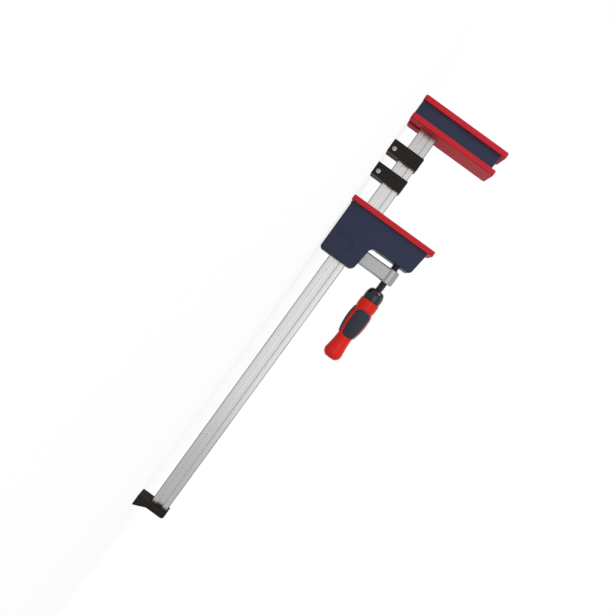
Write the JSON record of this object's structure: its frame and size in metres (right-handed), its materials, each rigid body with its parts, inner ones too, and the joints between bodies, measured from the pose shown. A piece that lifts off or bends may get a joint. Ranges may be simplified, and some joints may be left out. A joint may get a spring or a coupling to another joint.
{
  "type": "parallel clamp",
  "caption": "Bar clamp with deep parallel jaws on a grooved steel rail: fixed jaw, sliding jaw closed by a screw handle, slide-on pressure caps, rail supports and an end cap.",
  "frame": {"origin": "centre of the bounding box in X and Y, on the plane of the jaws' flat backs, which the clamp lies on", "axes": "+X along the rail from the fixed jaw to the end cap, +Z from the rail to the tips of the jaws, +Y across the clamp"},
  "size_m": [0.7606, 0.042, 0.1455],
  "materials": {
    "rail_steel": "cold-drawn, zinc plated, fine lengthwise grain",
    "forged_steel": "satin zinc plate over a forged surface",
    "bright_steel": "bright",
    "black_steel": "black phosphate, lightly oiled",
    "nut_bronze": "machined",
    "navy_plastic": "fine moulded grain",
    "cap_red": "smooth moulded, glue resistant",
    "black_plastic": "moulded, satin",
    "handle_red": "gloss moulded",
    "ferrule_navy": "gloss moulded",
    "grip_navy": "soft overmould"
  },
  "bodies": {
    "rail": {"rail": "rail_steel", "fixed_jaw_core": "forged_steel", "rail_pins": "bright_steel", "fixed_jaw_housing": "navy_plastic", "fixed_jaw_screws": "bright_steel", "fixed_jaw_front_cap": "cap_red", "fixed_jaw_rear_cap": "cap_red", "end_cap": "black_plastic", "end_cap_pin": "black_steel"},
    "slide_arm": {"slide_arm": "forged_steel", "spindle_nut": "nut_bronze", "bite_pins": "bright_steel", "brake_shoe": "black_plastic", "brake_spring": "bright_steel"},
    "sliding_jaw": {"sliding_jaw_core": "forged_steel", "sliding_jaw_housing": "navy_plastic", "sliding_jaw_screws": "bright_steel", "sliding_jaw_cap": "cap_red", "upper_rail_guide": "black_plastic", "lower_rail_guide": "black_plastic", "thrust_cup": "bright_steel"},
    "spindle": {"spindle": "black_steel", "retaining_ring": "bright_steel", "handle_ferrule": "ferrule_navy", "handle_core": "handle_red", "handle_grip_panels": "grip_navy", "hex_drive_socket": "black_steel", "handle_pin": "black_steel"},
    "rail_support_1": {"rail_support_1": "black_plastic", "rail_support_1_spring": "bright_steel", "rail_support_1_screw": "bright_steel", "rail_support_1_nut": "bright_steel"},
    "rail_support_2": {"rail_support_2": "black_plastic", "rail_support_2_spring": "bright_steel", "rail_support_2_screw": "bright_steel", "rail_support_2_nut": "bright_steel"}
  },
  "joints": [
    {"name": "arm_slide", "type": "slide", "parent": "rail", "child": "slide_arm", "axis": [1, 0, 0], "range_m": [-0.028, 0.469]},
    {"name": "jaw_feed", "type": "slide", "parent": "slide_arm", "child": "sliding_jaw", "axis": [-1, 0, 0], "range_m": [-0.006, 0.006]},
    {"name": "handle_spin", "type": "hinge", "parent": "sliding_jaw", "child": "spindle", "pos_m": [-0.14725, 0, 0.113], "axis": [-1, 0, 0], "range_deg": [-720, 720]},
    {"name": "support_1_slide", "type": "slide", "parent": "rail", "child": "rail_support_1", "axis": [1, 0, 0], "range_m": [-0.034, 0.005]},
    {"name": "support_2_slide", "type": "slide", "parent": "rail", "child": "rail_support_2", "axis": [1, 0, 0], "range_m": [-0.014, 0.005]}
  ],
  "couplings": [
    {"joint": "handle_spin", "follows": "jaw_feed", "rad_per_m": 2094.4}
  ]
}
